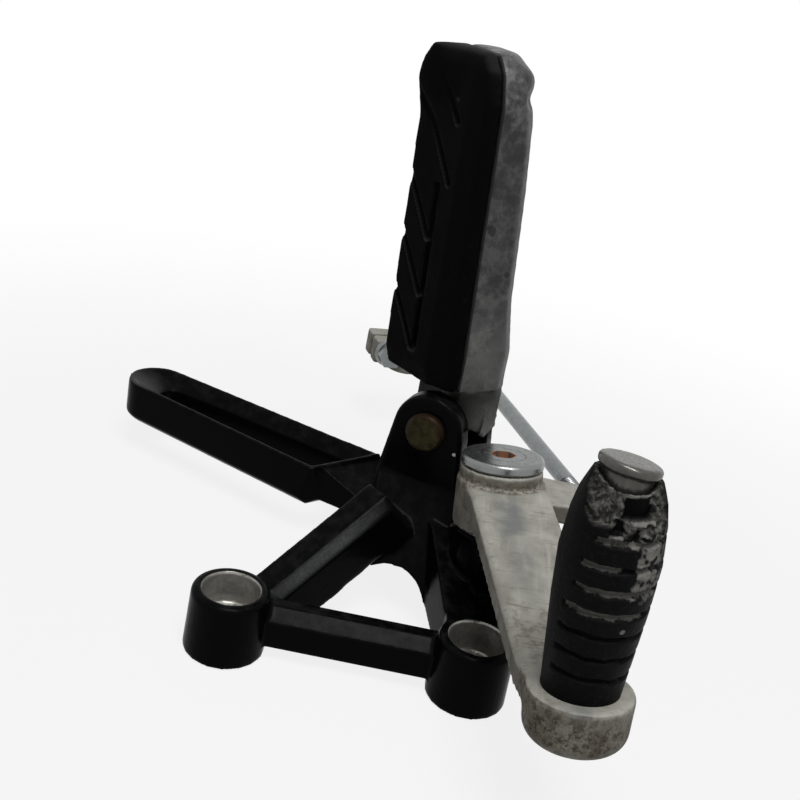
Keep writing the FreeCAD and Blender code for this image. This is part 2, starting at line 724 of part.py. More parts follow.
def lock_nut(at):
    nut = hexagon(nut_flats, lock_nut_height).cut(Part.makeCylinder(rod_r + thread_fit, lock_nut_height))
    nut.rotate(V(0, 0, 0), V(0, 1, 0), 90)
    nut.translate(V(at, 0, 0))
    return nut


def link_rod():
    return Part.makeCylinder(rod_r, link_length - 2 * rod_entry - 1, V(rod_entry + 0.5, 0, 0), V(1, 0, 0))


def from_far_end(shape):
    # Mirror image of a front linkage piece, at the rear ball
    turnabout = FreeCAD.Placement(V(link_length, 0, 0), FreeCAD.Rotation(UP, 180))
    return moved(shape, link_frame.multiply(turnabout))


def shift_arm():
    # Drawn from the rear ball along X, then turned square to the rod
    plate_top = link_z - (link_lug_foot - link_z)
    plate_foot = plate_top - arm_thickness
    plate = hull_plan(0, 0, link_lug_r - 1, arm_reach, 0, arm_hub_r, plate_foot, arm_thickness)
    hub = drum(arm_reach, 0, arm_hub_foot, arm_hub_r, arm_hub_top - arm_hub_foot)
    lugs = Part.makeBox(clamp_reach + pinch_flange_r - arm_reach, 2 * clamp_half, clamp_height,
                        V(arm_reach, -clamp_half, arm_hub_top - clamp_height))
    bore = drum(arm_reach, 0, arm_hub_foot - 1, spline_bore_r, arm_hub_top - arm_hub_foot + 2)
    slot = Part.makeBox(clamp_reach, clamp_slot, arm_hub_top, V(arm_reach, -clamp_slot / 2, arm_hub_foot - 1))
    pinch_z = arm_hub_top - clamp_height / 2
    pinch = Part.makeCylinder(pinch_bolt_r + thread_fit, 2 * clamp_half,
                              V(clamp_reach, -clamp_half, pinch_z), V(0, 1, 0))
    stud_hole = drum(0, 0, plate_foot, stud_r + thread_fit, arm_thickness)
    return plate.fuse([hub, lugs]).cut([bore, slot, pinch, stud_hole]).removeSplitter()


def pinch_bolt():
    pinch_z = arm_hub_top - clamp_height / 2
    shank = Part.makeCylinder(pinch_bolt_r, 2 * clamp_half + 3, V(0, -clamp_half - 3, 0), V(0, 1, 0))
    flange = Part.makeCone(pinch_flange_r, pinch_flange_r - 1, pinch_flange_height,
                           V(0, clamp_half, 0), V(0, 1, 0))
    head = hexagon(nut_flats, pinch_head_height)
    head.rotate(V(0, 0, 0), V(1, 0, 0), -90)
    head.translate(V(0, clamp_half, 0))
    bolt = shank.fuse([flange, head]).removeSplitter()
    bolt.translate(V(clamp_reach, 0, pinch_z))
    return bolt


def at_far_ball(shape, lift):
    square = frame_at(link_far.x, link_far.y, lift, link_turn + 90)
    return moved(shape, square)


def build():
    lug_seat = link_lug_top - link_z
    arm_seat = link_lug_foot - link_z + arm_thickness
    nodes = {
        "bracket": bracket(),
        "clevis_pin": clevis_pin(),
        "pin_clip": pin_clip(),
        "return_spring": return_spring(),
        "footpeg_base": footpeg_base(),
        "footpeg_rubber": footpeg_rubber(),
        "shift_lever": shift_lever(),
        "toe_rubber": toe_rubber(),
        "pivot_sleeve": pivot_sleeve(),
        "thrust_washer": thrust_ring(),
        "pivot_cap_washer": pivot_cap(),
        "pivot_bolt": pivot_bolt(),
        "front_ball_stud": moved(ball_stud(1), link_frame),
        "front_stud_nut": moved(stud_nut(lug_seat, 1), link_frame),
        "front_rod_end": moved(rod_end(1), link_frame),
        "front_lock_nut": moved(lock_nut(socket_neck_end), link_frame),
        "link_rod": moved(link_rod(), link_frame),
        "rear_lock_nut": from_far_end(lock_nut(socket_neck_end)),
        "rear_rod_end": from_far_end(rod_end(-1)),
        "rear_ball_stud": from_far_end(ball_stud(-1)),
        "rear_stud_nut": from_far_end(stud_nut(arm_seat, -1)),
        "shift_arm": at_far_ball(shift_arm(), 0),
        "arm_pinch_bolt": at_far_ball(pinch_bolt(), 0),
    }
    os.makedirs("parts", exist_ok=True)
    for name, shape in nodes.items():
        print(name, len(shape.Solids), round(shape.Volume, 1), shape.isValid())
        shape.exportStep("parts/" + name + ".step")


build()
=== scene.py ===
import math

import bpy
from mathutils import Matrix, Vector, noise


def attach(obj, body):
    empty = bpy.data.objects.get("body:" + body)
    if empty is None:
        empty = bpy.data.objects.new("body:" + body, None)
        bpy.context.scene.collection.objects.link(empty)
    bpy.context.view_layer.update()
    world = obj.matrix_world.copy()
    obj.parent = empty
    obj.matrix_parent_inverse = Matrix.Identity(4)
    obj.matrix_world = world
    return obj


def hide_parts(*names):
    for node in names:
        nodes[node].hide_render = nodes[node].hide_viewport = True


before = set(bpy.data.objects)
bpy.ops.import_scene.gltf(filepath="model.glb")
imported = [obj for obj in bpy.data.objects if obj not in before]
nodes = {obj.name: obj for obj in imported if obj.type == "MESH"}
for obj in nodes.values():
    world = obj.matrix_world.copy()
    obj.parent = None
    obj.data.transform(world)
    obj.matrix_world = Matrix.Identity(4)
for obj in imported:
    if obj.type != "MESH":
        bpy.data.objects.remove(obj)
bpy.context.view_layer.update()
MM = 0.001

# The photograph: its width and focal length in pixels, the camera's tilt, and its place in millimetres
PHOTO = 800
FOCAL = 1111.0
PITCH = math.radians(22.6)
ROLL = math.radians(11.4)
CAMERA = Vector((0.65, -277.2, 205.0))

# All places on the object are in millimetres, in the frame of the solids
# Mounting bosses, with the wall and the floor of their bare counterbores
BOSSES = ((-37.0, 0.0), (37.0, 0.0))
BORE_WALL = (9.1, 8.8)
BORE_FLOOR = (8.5, 9.0)
# Middle of the left arm's right bevel and the way it rises
ARM_BEVEL = Vector((-13.0, 18.8, 25.2))
ARM_RISE = Vector((0.606, 0.606, 0.515))
# Far end of the heel guard's bevel
GUARD_TIP = Vector((-100.0, 116.5, 26.5))
# Paint chips on the bracket, as a point and a radius
CHIPS = (((21.3, 49.5, 53.8), 0.6), ((25.3, 43.1, 32.0), 0.6))
# Lever: its pivot, the radius of the hub's step, the arm's top above the pivot, middle line and throat
PIVOT = Vector((38.2, 35.5, 38.2))
PIVOT_AXIS = Vector((-0.101056, 0.147053, 0.983953))
HUB_STEP = 13.4
SHELF = 16.2
LEVER_MIDDLE = Vector((38.8, 12.0, 55.0))
LEVER_HEADING = Vector((0.19, -0.98, 0.0))
THROAT = Vector((50.0, -34.0, 49.0))
# Radii on the pivot bolt and its washer: rusty socket, seam round the bolt, turned ring and rim with a
# painted highlight
SOCKET = (4.4, 3.2)
BOLT_SEAM = 7.0
WASHER_RING = 10.2
WASHER_RIM = (11.3, 12.4)
# Clevis pin, and the rusty rim of its head
PIN = Vector((11.0, 52.9, 58.5))
PIN_TURN = math.radians(-18.0)
PIN_AXIS = Vector((-math.sin(PIN_TURN), math.cos(PIN_TURN), 0.0))
PIN_RIM = (4.9, 6.2)
# Footpeg: its foot, the way its back faces, its length, the seam of base and tread, and dark spots
PEG = Vector((16.8, 70.7, 58.5))
PEG_TURN = math.radians(28.0)
PEG_TILT = math.radians(-4.0)
PEG_PLACE = Matrix.Rotation(PEG_TURN, 3, "Z") @ Matrix.Rotation(PEG_TILT, 3, "Y")
PEG_FACE = PEG_PLACE @ Vector((1.0, 0.0, 0.0))
PEG_UP = PEG_PLACE @ Vector((0.0, 0.0, 1.0))
PEG_SEAM = -5.6
PEG_SPOTS = (((17.7, 52.5, 127.6), 1.9, 0.8, 1.2), ((25.7, 56.8, 114.1), 1.2, 0.8, 0.9))
# Toe pin at the top of its drum, and the drum's middle
TOE = Vector((56.0, -56.0, 50.0))
TOE_TILT = math.radians(-3.5)
TOE_AXIS = Vector((math.sin(TOE_TILT), 0.0, math.cos(TOE_TILT)))
DRUM = TOE - Vector((0.0, 0.0, 7.0))
# Linkage from its front ball to its rear one
LINK = Vector((75.4, 38.0, 42.0))
LINK_TURN = math.radians(110.2)
LINK_LENGTH = 168.0


def step(low, high, value):
    """Smooth step from 0 to 1 between two values."""
    share = min(max((value - low) / (high - low), 0.0), 1.0)
    return share * share * (3.0 - 2.0 * share)


def rise(at, soft, value):
    """Smooth step from 0 to 1 at a value, with a soft margin to both sides."""
    return step(at - soft, at + soft, value)


def between(values, share_points, at):
    """Value on a line through points."""
    for (p0, v0), (p1, v1) in zip(zip(share_points, values), zip(share_points[1:], values[1:])):
        if at <= p1:
            return v0 + (v1 - v0) * max((at - p0) / (p1 - p0), 0.0)
    return values[-1]


class Paint:
    """One procedural material, with coordinates in millimetres that ride with the piece."""

    def __init__(self, name):
        self.material = bpy.data.materials.new(name)
        self.material.use_nodes = True
        self.tree = self.material.node_tree
        self.shader = self.tree.nodes["Principled BSDF"]
        coords = self.tree.nodes.new("ShaderNodeTexCoord")
        scale = self.tree.nodes.new("ShaderNodeVectorMath")
        scale.operation = "SCALE"
        scale.inputs["Scale"].default_value = 1.0 / MM
        self.tree.links.new(coords.outputs["Object"], scale.inputs[0])
        self.place = scale.outputs[0]

    def feed(self, socket, value):
        """Links a socket, or sets it to a constant."""
        if isinstance(value, bpy.types.NodeSocket):
            self.tree.links.new(value, socket)
        else:
            socket.default_value = value

    def put(self, **values):
        """Links or sets the shader's own sockets by name."""
        for name, value in values.items():
            self.feed(self.shader.inputs[name.replace("_", " ")], value)

    def math(self, operation, a, b=0.0, c=0.0):
        node = self.tree.nodes.new("ShaderNodeMath")
        node.operation = operation
        for socket, value in zip(node.inputs, (a, b, c)):
            self.feed(socket, value)
        return node.outputs[0]

    def both(self, a, b):
        return self.math("MULTIPLY", a, b)

    def most(self, *values):
        result = values[0]
        for value in values[1:]:
            result = self.math("MAXIMUM", result, value)
        return result

    def apart(self, value, target):
        """How far a value lies from a target."""
        return self.math("ABSOLUTE", self.math("SUBTRACT", value, target))

    def ramp(self, value, low, high, start=0.0, end=1.0):
        node = self.tree.nodes.new("ShaderNodeMapRange")
        node.interpolation_type = "SMOOTHSTEP"
        for name, number in (("From Min", low), ("From Max", high), ("To Min", start), ("To Max", end)):
            node.inputs[name].default_value = number
        self.feed(node.inputs["Value"], value)
        return node.outputs[0]

    def stretch(self, factors, turn=(0.0, 0.0, 0.0)):
        node = self.tree.nodes.new("ShaderNodeMapping")
        node.inputs["Rotation"].default_value = turn
        node.inputs["Scale"].default_value = factors
        self.feed(node.inputs["Vector"], self.place)
        return node.outputs[0]

    def noise(self, size, detail=3.0, rough=0.55, place=None):
        node = self.tree.nodes.new("ShaderNodeTexNoise")
        node.inputs["Scale"].default_value = 1.0 / size
        node.inputs["Detail"].default_value = detail
        node.inputs["Roughness"].default_value = rough
        self.feed(node.inputs["Vector"], place or self.place)
        return node.outputs["Fac"]

    def shake(self, reach, size, detail):
        """Noise that swings both ways by at most a reach."""
        return self.math("MULTIPLY_ADD", self.noise(size, detail), 2.0 * reach, -reach)

    def mix(self, amount, a, b):
        node = self.tree.nodes.new("ShaderNodeMix")
        node.data_type = "RGBA"
        self.feed(node.inputs["Factor"], amount)
        for name, value in (("A", a), ("B", b)):
            socket = [s for s in node.inputs if s.name == name and s.type == "RGBA"][0]
            self.feed(socket, (*value, 1.0) if isinstance(value, tuple) else value)
        return [s for s in node.outputs if s.type == "RGBA"][0]

    def axis(self, name):
        node = self.tree.nodes.new("ShaderNodeSeparateXYZ")
        self.feed(node.inputs[0], self.place)
        return node.outputs[name]

    def up(self):
        """How far the surface faces up, in the piece's own frame."""
        coords = self.tree.nodes.new("ShaderNodeTexCoord")
        split = self.tree.nodes.new("ShaderNodeSeparateXYZ")
        self.feed(split.inputs[0], coords.outputs["Normal"])
        return split.outputs["Z"]

    def sharp(self):
        return self.tree.nodes.new("ShaderNodeNewGeometry").outputs["Pointiness"]

    def painted(self, name):
        """A mark kept on the mesh's points."""
        node = self.tree.nodes.new("ShaderNodeAttribute")
        node.attribute_name = name
        return node.outputs["Fac"]

    def vector(self, operation, first, second=None):
        node = self.tree.nodes.new("ShaderNodeVectorMath")
        node.operation = operation
        self.feed(node.inputs[0], first)
        if second is not None:
            node.inputs[1].default_value = second
        return node

    def offset(self, point):
        return self.vector("SUBTRACT", self.place, point).outputs[0]

    def away(self, point, factors=(1.0, 1.0, 1.0)):
        """Distance from a point, with each axis weighted; a weight of 0 makes it a line or a plane."""
        weighed = self.vector("MULTIPLY", self.offset(point), factors)
        return self.vector("LENGTH", weighed.outputs[0]).outputs["Value"]

    def height(self, point, normal):
        """Height above the plane through a point."""
        return self.vector("DOT_PRODUCT", self.offset(point), normal).outputs["Value"]

    def from_line(self, point, direction):
        """Distance from the line through a point."""
        crossed = self.vector("CROSS_PRODUCT", self.offset(point), direction)
        return self.vector("LENGTH", crossed.outputs[0]).outputs["Value"]

    def spot(self, point, radius, ragged, size):
        """A ragged spot on the surface round a point."""
        out = self.math("ADD", self.away(point), self.shake(ragged * radius, size, 2.0))
        return self.ramp(out, radius, radius * 0.7)

    def bump(self, height, depth, below=None):
        node = self.tree.nodes.new("ShaderNodeBump")
        node.inputs["Distance"].default_value = depth * MM
        self.feed(node.inputs["Height"], height)
        if below is not None:
            self.feed(node.inputs["Normal"], below)
        return node.outputs[0]


def scaled(tint, factor):
    """A tint times one number, or times a number for each channel."""
    factors = factor if isinstance(factor, tuple) else (factor,) * len(tint)
    return tuple(c * f for c, f in zip(tint, factors))


def black_paint():
    p = Paint("black_paint")
    colour = p.mix(p.noise(14.0), (0.0012, 0.0013, 0.0014), (0.0026, 0.0027, 0.0028))
    dust = p.both(p.ramp(p.up(), 0.3, 1.0, 0.0, 0.8), p.ramp(p.noise(4.0, 5.0), 0.38, 0.75))
    colour = p.mix(dust, colour, (0.010, 0.010, 0.0095))
    # Edge wear and painted highlight: paler along sharp edges
    edge_wear_and_highlight = p.both(p.ramp(p.sharp(), 0.52, 0.6), p.ramp(p.noise(2.2, 4.0), 0.36, 0.6))
    colour = p.mix(edge_wear_and_highlight, colour, (0.05, 0.05, 0.048))
    # Painted highlight streaking along the left arm's right bevel
    scuff_and_highlight = p.ramp(p.from_line(ARM_BEVEL, ARM_RISE), 2.6, 1.2)
    scuff_and_highlight = p.both(scuff_and_highlight, p.ramp(p.away(ARM_BEVEL), 29.0, 8.0))
    scuff_and_highlight = p.both(scuff_and_highlight, p.ramp(p.noise(0.6, 5.0, 0.7), 0.3, 0.7, 0.45, 1.0))
    colour = p.mix(p.both(scuff_and_highlight, 0.85), colour, (0.05, 0.051, 0.051))
    # Painted sheen: a paler, up-facing bevel at the heel guard's far end
    painted_sheen = p.both(p.ramp(p.away(GUARD_TIP), 13.0, 3.0), p.ramp(p.up(), 0.3, 0.9, 0.0, 0.7))
    colour = p.mix(painted_sheen, colour, (0.05, 0.051, 0.049))
    # Bare metal in the counterbores and where the paint is chipped
    from_bores = [p.away((x, y, 0.0), (1.0, 1.0, 0.0)) for x, y in BOSSES]
    bores = p.most(*[p.ramp(out, *BORE_WALL) for out in from_bores])
    bores = p.both(bores, p.ramp(p.axis("Z"), *BORE_FLOOR))
    bores = p.both(bores, p.ramp(p.noise(1.6, 4.0), 0.25, 0.42, 0.35, 1.0))
    bare = p.most(*[p.spot(point, radius, 0.9, 0.5) for point, radius in CHIPS], bores)
    metal = p.mix(p.noise(1.5, 5.0), (0.18, 0.175, 0.155), (0.40, 0.39, 0.36))
    colour = p.mix(bare, colour, metal)
    rough = p.ramp(p.noise(3.0, 4.0), 0.3, 0.75, 0.17, 0.27)
    rough = p.math("ADD", rough, p.both(dust, 0.2))
    relief = p.bump(p.noise(2.6, 2.0), 0.06, p.bump(p.noise(0.7, 4.0, 0.6), 0.025))
    p.put(Base_Color=colour, Roughness=rough, Normal=relief, Metallic=p.both(bare, 0.5))
    p.put(Specular_IOR_Level=0.022)
    return p.material


def casting(p, tint):
    """Clouded bare aluminium with stains and pits; gives the colour and the fine grain."""
    colour = p.mix(p.ramp(p.noise(9.0, 5.0), 0.3, 0.72), scaled(tint, 1.12), scaled(tint, 0.74))
    stain = p.ramp(p.noise(4.5, 6.0, 0.7), 0.54, 0.74)
    colour = p.mix(p.both(stain, 0.45), colour, scaled(tint, (0.46, 0.40, 0.33)))
    pits = p.ramp(p.noise(0.9, 5.0, 0.7), 0.62, 0.72)
    colour = p.mix(p.both(pits, 0.5), colour, scaled(tint, (0.36, 0.29, 0.21)))
    return colour, p.noise(0.6, 4.0, 0.65)


def lever_aluminium():
    p = Paint("lever_aluminium")
    colour, fine = casting(p, (0.318, 0.310, 0.272))
    scratch = p.noise(1.0, 4.0, 0.6, p.stretch((0.07, 1.3, 1.3), (0.0, 0.0, math.radians(8.0))))
    rubbed = p.noise(1.0, 3.0, 0.6, p.stretch((0.4, 0.025, 0.3), (0.0, 0.0, math.radians(11.0))))
    colour = p.mix(p.ramp(rubbed, 0.50, 0.72, 0.0, 0.35), colour, (0.48, 0.47, 0.42))
    colour = p.mix(p.ramp(scratch, 0.58, 0.70, 0.0, 0.65), colour, (0.15, 0.135, 0.105))
    # Browned side of the toe drum
    on_drum = p.both(p.ramp(p.away(DRUM), 18.0, 13.0), p.ramp(p.up(), 0.8, 0.4))
    browned = p.both(on_drum, p.ramp(p.noise(6.0, 5.0), 0.35, 0.65, 0.35, 0.85))
    colour = p.mix(browned, colour, (0.10, 0.076, 0.044))
    # Grey wear down the middle of the arm, brown stains where it meets the drum
    middle = p.ramp(p.from_line(LEVER_MIDDLE, LEVER_HEADING), 7.0, 2.0)
    worn = p.both(middle, p.ramp(p.noise(12.0, 5.0), 0.34, 0.60, 0.25, 0.8))
    colour = p.mix(worn, colour, (0.125, 0.132, 0.134))
    throat = p.both(p.ramp(p.away(THROAT), 15.0, 7.0), p.ramp(p.noise(2.6, 6.0, 0.7), 0.48, 0.64))
    colour = p.mix(p.both(throat, 0.6), colour, (0.13, 0.10, 0.062))
    # Painted shade: darker flanks, apart from the drum's
    shaded_flank = p.both(p.ramp(p.up(), 0.5, 0.1), p.ramp(p.noise(5.0, 5.0), 0.3, 0.7, 0.4, 0.8))
    shaded_flank = p.both(shaded_flank, p.math("MULTIPLY_ADD", on_drum, -0.8, 1.0))
    colour = p.mix(shaded_flank, colour, (0.075, 0.068, 0.05))
    # Brown dirt along the foot of the hub's step and in the pits of the drum
    grime = p.ramp(p.noise(1.3, 6.0, 0.75), 0.36, 0.62)
    step_line = p.ramp(p.apart(p.from_line(PIVOT, PIVOT_AXIS), HUB_STEP), 1.8, 0.2)
    step_line = p.both(step_line, p.ramp(p.apart(p.height(PIVOT, PIVOT_AXIS), SHELF), 4.5, 1.0))
    colour = p.mix(p.both(p.both(step_line, grime), 0.85), colour, (0.06, 0.038, 0.018))
    pitted = p.noise(1.9, 6.0, 0.78)
    speckle = p.most(p.ramp(pitted, 0.47, 0.58), p.both(grime, 0.4))
    colour = p.mix(p.both(p.both(on_drum, speckle), 0.95), colour, (0.026, 0.018, 0.010))
    # Painted highlight along sharp edges
    painted_edge_highlight = p.ramp(p.sharp(), 0.53, 0.62, 0.0, 0.5)
    colour = p.mix(painted_edge_highlight, colour, (0.47, 0.46, 0.42))
    # The core that stands out of the torn rubber is darker and smoother
    core = p.ramp(p.from_line(TOE, TOE_AXIS), 9.5, 8.5)
    core = p.both(core, p.ramp(p.height(TOE, TOE_AXIS), 1.0, 2.0))
    core_tone = p.mix(p.noise(3.0, 4.0), (0.042, 0.040, 0.035), (0.125, 0.121, 0.11))
    colour = p.mix(core, colour, core_tone)
    grit = p.math("MULTIPLY_ADD", core, -0.9, 1.0)
    pits = p.bump(p.both(p.both(on_drum, pitted), grit), -0.5)
    relief = p.bump(p.both(scratch, grit), 0.14, p.bump(p.both(fine, grit), 0.08, pits))
    rough = p.math("SUBTRACT", p.ramp(fine, 0.3, 0.7, 0.46, 0.64), p.both(core, 0.24))
    p.put(Base_Color=colour, Roughness=rough, Normal=relief, Specular_IOR_Level=0.14)
    p.put(Metallic=p.math("MULTIPLY_ADD", core, 0.6, 0.1))
    return p.material


def peg_aluminium():
    p = Paint("peg_aluminium")
    along = p.height(PEG, PEG_UP)
    colour, fine = casting(p, (0.105, 0.105, 0.103))
    blots = p.ramp(p.noise(5.0, 6.0, 0.65), 0.54, 0.70)
    colour = p.mix(p.both(blots, 0.7), colour, (0.055, 0.053, 0.05))
    # Pale clouds on the lower half
    clouds = p.both(p.ramp(p.noise(11.0, 6.0, 0.62), 0.52, 0.68), p.ramp(along, 62.0, 30.0, 0.25, 1.0))
    colour = p.mix(p.both(clouds, 0.6), colour, (0.22, 0.215, 0.20))
    # Streaks, a worn tip and painted highlights on the edges
    wipe = p.noise(1.0, 4.0, 0.6, p.stretch((0.9, 0.9, 0.06)))
    colour = p.mix(p.ramp(wipe, 0.58, 0.74, 0.0, 0.4), colour, (0.24, 0.237, 0.23))
    worn_tip = p.both(p.ramp(along, 88.0, 112.0), p.ramp(p.noise(3.0, 5.0), 0.35, 0.6))
    colour = p.mix(p.both(worn_tip, 0.5), colour, (0.25, 0.247, 0.24))
    painted_edge_highlight = p.ramp(p.sharp(), 0.53, 0.62, 0.0, 0.5)
    colour = p.mix(painted_edge_highlight, colour, (0.40, 0.395, 0.38))
    # Darker lug, dark mottling on the upper half and two dark spots
    colour = p.mix(p.ramp(along, 15.0, 11.0, 0.0, 0.75), colour, (0.032, 0.031, 0.027))
    mottle = p.ramp(p.noise(6.5, 6.0, 0.66), 0.38, 0.62, 0.3, 0.95)
    colour = p.mix(p.both(p.ramp(along, 26.0, 50.0), mottle), colour, (0.026, 0.026, 0.027))
    dark_spots = p.most(*[p.spot(*place) for place in PEG_SPOTS])
    colour = p.mix(p.both(dark_spots, 0.75), colour, (0.012, 0.011, 0.01))
    # Black along the seam with the tread
    painted = p.ramp(p.height(PEG, PEG_FACE), PEG_SEAM + 1.1, PEG_SEAM + 0.7)
    colour = p.mix(painted, colour, (0.005, 0.005, 0.005))
    relief = p.bump(wipe, 0.05, p.bump(fine, 0.08, p.bump(p.noise(2.5), 0.14)))
    p.put(Base_Color=colour, Roughness=p.ramp(fine, 0.3, 0.7, 0.42, 0.6), Normal=relief)
    p.put(Metallic=p.math("MULTIPLY_ADD", painted, -0.3, 0.3), Specular_IOR_Level=0.2)
    return p.material


def zinc(name, tint, rusty):
    """Zinc plating; on the pivot bolt and its washer also rust, a seam, a ring and a painted highlight
    on the rim.
    """
    p = Paint(name)
    colour = p.mix(p.noise(4.0, 5.0), scaled(tint, 0.7), scaled(tint, 1.25))
    dull = p.ramp(p.noise(1.2, 6.0, 0.7), 0.55, 0.72)
    colour = p.mix(p.both(dull, 0.4), colour, scaled(tint, 0.5))
    rough = p.ramp(p.noise(1.6, 4.0), 0.3, 0.7, 0.22, 0.36)
    metallic = 0.9
    if rusty:
        out = p.from_line(PIVOT, PIVOT_AXIS)
        rust = p.both(p.ramp(out, *SOCKET), p.ramp(p.noise(0.9, 4.0), 0.28, 0.5))
        colour = p.mix(rust, colour, (0.23, 0.085, 0.028))
        seam = p.ramp(p.apart(out, BOLT_SEAM), 0.4, 0.1)
        ring = p.ramp(p.apart(out, WASHER_RING), 0.3, 0.08)
        dark_lines = p.most(seam, p.both(ring, 0.6))
        colour = p.mix(p.both(dark_lines, 0.8), colour, (0.03, 0.028, 0.025))
        # Painted highlight: a paler ring on the washer's rim
        colour = p.mix(p.ramp(out, *WASHER_RIM, 0.0, 0.6), colour, (0.25, 0.262, 0.258))
        rough = p.math("ADD", rough, p.both(rust, 0.4))
        metallic = p.math("MULTIPLY_ADD", rust, -0.8, metallic)
    p.put(Base_Color=colour, Roughness=rough, Metallic=metallic)
    p.put(Normal=p.bump(p.noise(0.5, 3.0), 0.02))
    return p.material


def aged_pin():
    p = Paint("aged_pin")
    cloud = p.noise(2.4, 5.0)
    colour = p.mix(p.ramp(cloud, 0.3, 0.7), (0.034, 0.028, 0.012), (0.013, 0.011, 0.005))
    spots = p.ramp(p.noise(0.8, 5.0, 0.7), 0.6, 0.7)
    colour = p.mix(p.both(spots, 0.8), colour, (0.03, 0.017, 0.008))
    out = p.math("ADD", p.from_line(PIN, PIN_AXIS), p.shake(1.2, 1.6, 4.0))
    colour = p.mix(p.both(p.ramp(out, *PIN_RIM), 0.9), colour, (0.014, 0.007, 0.004))
    p.put(Base_Color=colour, Roughness=p.ramp(cloud, 0.3, 0.7, 0.34, 0.5), Metallic=0.35)
    p.put(Normal=p.bump(p.noise(0.8, 4.0), 0.08), Specular_IOR_Level=0.06)
    return p.material


def tread_rubber():
    p = Paint("tread_rubber")
    cloud = p.noise(8.0, 4.0)
    colour = p.mix(cloud, (0.0014, 0.0014, 0.0015), (0.0034, 0.0034, 0.0035))
    worn = p.both(p.ramp(p.sharp(), 0.52, 0.6), p.ramp(p.noise(1.8, 4.0), 0.4, 0.65))
    colour = p.mix(p.both(worn, 0.6), colour, (0.03, 0.03, 0.029))
    dust = p.ramp(p.noise(2.5, 6.0, 0.7), 0.58, 0.78)
    colour = p.mix(p.both(dust, 0.35), colour, (0.016, 0.0155, 0.0145))
    # Painted sheen: paler where the tread faces up
    colour = p.mix(p.ramp(p.up(), 0.15, 0.8, 0.0, 0.7), colour, (0.02, 0.02, 0.0195))
    relief = p.bump(p.noise(3.0, 3.0), 0.08, p.bump(p.noise(0.45, 4.0, 0.65), 0.05))
    p.put(Base_Color=colour, Roughness=p.ramp(cloud, 0.3, 0.7, 0.5, 0.66), Normal=relief)
    p.put(Specular_IOR_Level=0.015)
    return p.material


def toe_rubber_paint():
    p = Paint("toe_rubber")
    colour = p.mix(p.noise(5.0, 4.0), (0.0018, 0.0018, 0.002), (0.0052, 0.0052, 0.0054))
    scuff_and_highlight = p.ramp(p.noise(1.1, 6.0, 0.7), 0.5, 0.75)
    colour = p.mix(p.both(scuff_and_highlight, 0.25), colour, (0.035, 0.035, 0.034))
    ragged = p.ramp(p.noise(1.3, 5.0, 0.7), 0.3, 0.7)
    torn = p.mix(ragged, (0.007, 0.007, 0.0066), (0.10, 0.097, 0.089))
    colour = p.mix(p.painted("torn"), colour, torn)
    dirt = p.ramp(p.math("ADD", p.painted("dirt"), p.shake(0.45, 0.9, 5.0)), 0.28, 0.7)
    pale = p.mix(p.noise(1.0, 5.0, 0.7), (0.07, 0.068, 0.062), (0.24, 0.234, 0.215))
    colour = p.mix(dirt, colour, pale)
    # Painted shade: the holes torn through are nearly black inside
    colour = p.mix(p.ramp(p.painted("hole"), 0.25, 0.95), colour, (0.001, 0.001, 0.001))
    relief = p.bump(p.noise(1.5, 5.0, 0.65), 0.22, p.bump(p.noise(0.35, 3.0), 0.04))
    p.put(Base_Color=colour, Roughness=p.ramp(dirt, 0.0, 1.0, 0.5, 0.85), Normal=relief)
    p.put(Specular_IOR_Level=0.03)
    return p.material


def finish_mesh(obj, node, body, material):
    obj.data.materials.clear()
    obj.data.materials.append(material)
    for face in obj.data.polygons:
        face.use_smooth = True
    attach(obj, body)
    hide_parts(node)


def apply_all(obj):
    """Turns an object's modifiers into its mesh."""
    bpy.context.view_layer.update()
    result = obj.evaluated_get(bpy.context.evaluated_depsgraph_get())
    mesh = bpy.data.meshes.new_from_object(result)
    old = obj.data
    obj.modifiers.clear()
    obj.data = mesh
    bpy.data.meshes.remove(old)


def add_remesh(obj, voxel):
    remesh = obj.modifiers.new("remesh", "REMESH")
    remesh.mode = "VOXEL"
    remesh.voxel_size = voxel * MM


def add_smooth(obj, name, rounds):
    smooth = obj.modifiers.new(name, "SMOOTH")
    smooth.factor = 0.5
    smooth.iterations = rounds
    return smooth


def softened(node, name, voxel, rounds, keep=1.0, melts=(), flow=None):
    """A node's own shape with its edges rounded as a casting or moulding has them.

    flow moves points to where the casting runs; each melt is a rule that gives a point's share of
    extra smoothing, and its number of rounds; keep is the share of faces that is kept."""
    obj = bpy.data.objects.new(name, nodes[node].data.copy())
    bpy.context.scene.collection.objects.link(obj)
    weld = obj.modifiers.new("weld", "WELD")
    weld.merge_threshold = 1e-6
    add_remesh(obj, voxel)
    if flow:
        apply_all(obj)
        for vertex in obj.data.vertices:
            vertex.co = flow(vertex.co / MM) * MM
        add_remesh(obj, voxel)
    add_smooth(obj, "smooth", rounds)
    apply_all(obj)
    for index, (rule, more) in enumerate(melts):
        group = obj.vertex_groups.new(name="melt" + str(index))
        for vertex in obj.data.vertices:
            share = rule(vertex.co / MM)
            if share > 0.0:
                group.add([vertex.index], share, "REPLACE")
        add_smooth(obj, "melt", more).vertex_group = group.name
    if keep < 1.0:
        fewer = obj.modifiers.new("fewer", "DECIMATE")
        fewer.ratio = keep
    apply_all(obj)
    obj.vertex_groups.clear()
    return obj


def near_point(point, radius):
    """A rule for the surroundings of a point."""
    return lambda place: 1.0 - step(0.5 * radius, radius, (place - point).length)


# Left arm of the bracket: where its foot line starts, its length, headings and the line's two heights
ARM_START = Vector((-34.0, 6.5, 0.0))
ARM_LENGTH = 47.1
ARM_HEADING = Vector((0.70711, 0.70711, 0.0))
ARM_RIGHT = Vector((0.70711, -0.70711, 0.0))
ARM_FEET = (4.0, 21.0)
